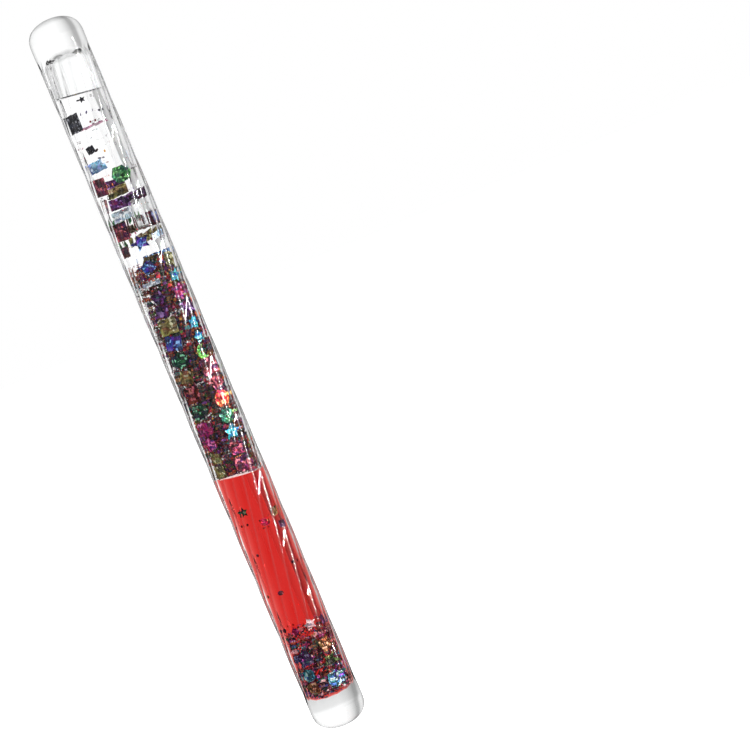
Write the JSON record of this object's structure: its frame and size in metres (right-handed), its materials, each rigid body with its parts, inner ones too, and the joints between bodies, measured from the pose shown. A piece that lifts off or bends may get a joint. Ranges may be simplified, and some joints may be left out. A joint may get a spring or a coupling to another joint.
{
  "type": "spiral confetti wand",
  "caption": "Sealed clear wand with shallow spiral flutes and domed ends, holding a red liquid under a clear one and loose foil confetti that drifts from end to end.",
  "frame": {"origin": "middle of the wand's length, on its axis", "axes": "+Z along the wand's axis, towards the end with the air space; -Y is the side that faces the viewer, +X is to the viewer's right"},
  "size_m": [0.012, 0.012, 0.165],
  "materials": {
    "clear_acrylic": "clear polished acrylic",
    "clear_liquid": "clear oily liquid",
    "red_liquid": "clear red liquid",
    "foil_charcoal": "metallised holographic film",
    "foil_magenta": "metallised holographic film",
    "foil_blue": "metallised holographic film",
    "foil_green": "metallised holographic film",
    "foil_maroon": "metallised holographic film",
    "foil_gold": "metallised holographic film",
    "foil_purple": "metallised holographic film",
    "foil_silver": "metallised holographic film",
    "foil_indigo": "metallised holographic film",
    "foil_lime": "metallised holographic film",
    "foil_teal": "metallised holographic film",
    "foil_red": "metallised holographic film",
    "foil_bottle_green": "metallised holographic film"
  },
  "bodies": {
    "wand": {"wand_tube": "clear_acrylic", "upper_end_plug": "clear_acrylic", "lower_end_plug": "clear_acrylic", "clear_liquid": "clear_liquid", "red_liquid": "red_liquid", "clinging_charcoal_star": "foil_charcoal"},
    "floating_confetti": {"floating_charcoal_squares": "foil_charcoal", "floating_magenta_square": "foil_magenta", "floating_blue_oblong": "foil_blue", "floating_green_hexagons": "foil_green", "floating_maroon_squares": "foil_maroon", "floating_gold_oblongs": "foil_gold", "floating_purple_oblongs": "foil_purple", "floating_silver_oblongs": "foil_silver", "floating_indigo_star": "foil_indigo"},
    "raft_confetti": {"raft_green_stars": "foil_green", "raft_lime_crescents": "foil_lime", "raft_teal_stars": "foil_teal", "raft_indigo_squares": "foil_indigo", "raft_purple_squares": "foil_purple", "raft_magenta_hexagons": "foil_magenta", "raft_red_discs": "foil_red", "raft_gold_squares": "foil_gold", "raft_silver_strips": "foil_silver", "raft_maroon_squares": "foil_maroon", "raft_bottle_hexagons": "foil_bottle_green"},
    "sinking_confetti": {"sinking_bottle_star": "foil_bottle_green", "sinking_red_hexagon": "foil_red", "sinking_gold_square": "foil_gold", "sinking_purple_square": "foil_purple", "sinking_specks": "foil_maroon"},
    "sunk_confetti": {"sunk_silver_stars": "foil_silver", "sunk_teal_hexagons": "foil_teal", "sunk_indigo_squares": "foil_indigo", "sunk_magenta_hexagons": "foil_magenta", "sunk_green_stars": "foil_green", "sunk_gold_squares": "foil_gold", "sunk_purple_squares": "foil_purple", "sunk_red_discs": "foil_red", "sunk_bottle_hexagons": "foil_bottle_green"}
  },
  "joints": [
    {"name": "raft_drift", "type": "slide", "parent": "wand", "child": "raft_confetti", "axis": [0, 0, 1], "range_m": [0, 0.011], "deforming": ["clear_liquid"]},
    {"name": "floating_drift", "type": "slide", "parent": "wand", "child": "floating_confetti", "axis": [0, 0, 1], "range_m": [0, 0.011]},
    {"name": "sinking_drift", "type": "slide", "parent": "wand", "child": "sinking_confetti", "axis": [0, 0, 1], "range_m": [0, 0.0165]},
    {"name": "sunk_drift", "type": "slide", "parent": "wand", "child": "sunk_confetti", "axis": [0, 0, 1], "range_m": [0, 0.022], "deforming": ["red_liquid"]}
  ],
  "couplings": [
    {"joint": "floating_drift", "follows": "raft_drift", "ratio": 1},
    {"joint": "sinking_drift", "follows": "raft_drift", "ratio": 1.5},
    {"joint": "sunk_drift", "follows": "raft_drift", "ratio": 2}
  ]
}
